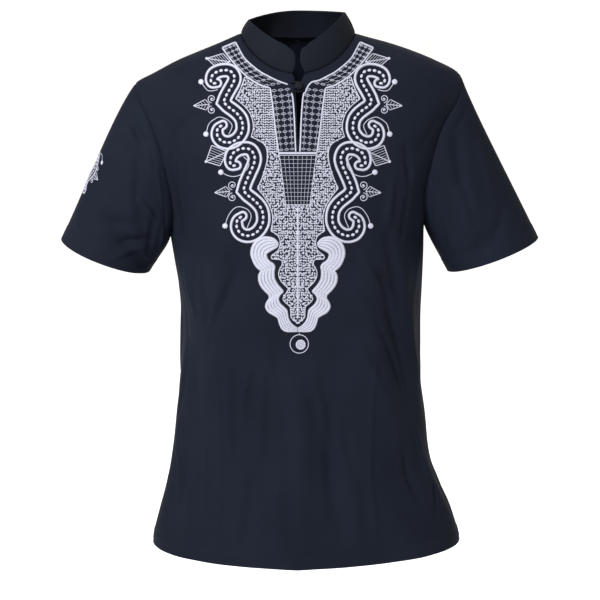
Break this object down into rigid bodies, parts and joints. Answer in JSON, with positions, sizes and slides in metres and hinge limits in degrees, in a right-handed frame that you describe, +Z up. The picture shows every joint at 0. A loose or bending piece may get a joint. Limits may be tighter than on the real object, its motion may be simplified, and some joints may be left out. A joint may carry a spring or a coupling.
{
  "type": "t-shirt",
  "caption": "Short-sleeved pullover shirt with a stand collar, a neck slit closed by a ball and loop, and side vents, hollow and filled out as worn.",
  "frame": {"origin": "midway between the two points where the shoulder seams meet the collar, where the wearer's neck and shoulders hold the shirt", "axes": "+X to the right of someone who faces the front, -Y out of the front, +Z up"},
  "size_m": [0.6968, 0.2591, 0.7943],
  "materials": {
    "cloth": "plain woven black-navy cotton with a slight sheen, white embroidery on the front",
    "collar_cloth": "the same cloth, stiffened",
    "closure_cord": "rolled cord of the same cloth",
    "embroidery_thread": "shiny white embroidery thread, on the dressed model only"
  },
  "bodies": {
    "root": {"front": "cloth", "back": "cloth", "sleeve_left": "cloth", "sleeve_right": "cloth", "collar": "collar_cloth", "knot_ball": "closure_cord", "button_loop": "closure_cord"}
  },
  "joints": []
}
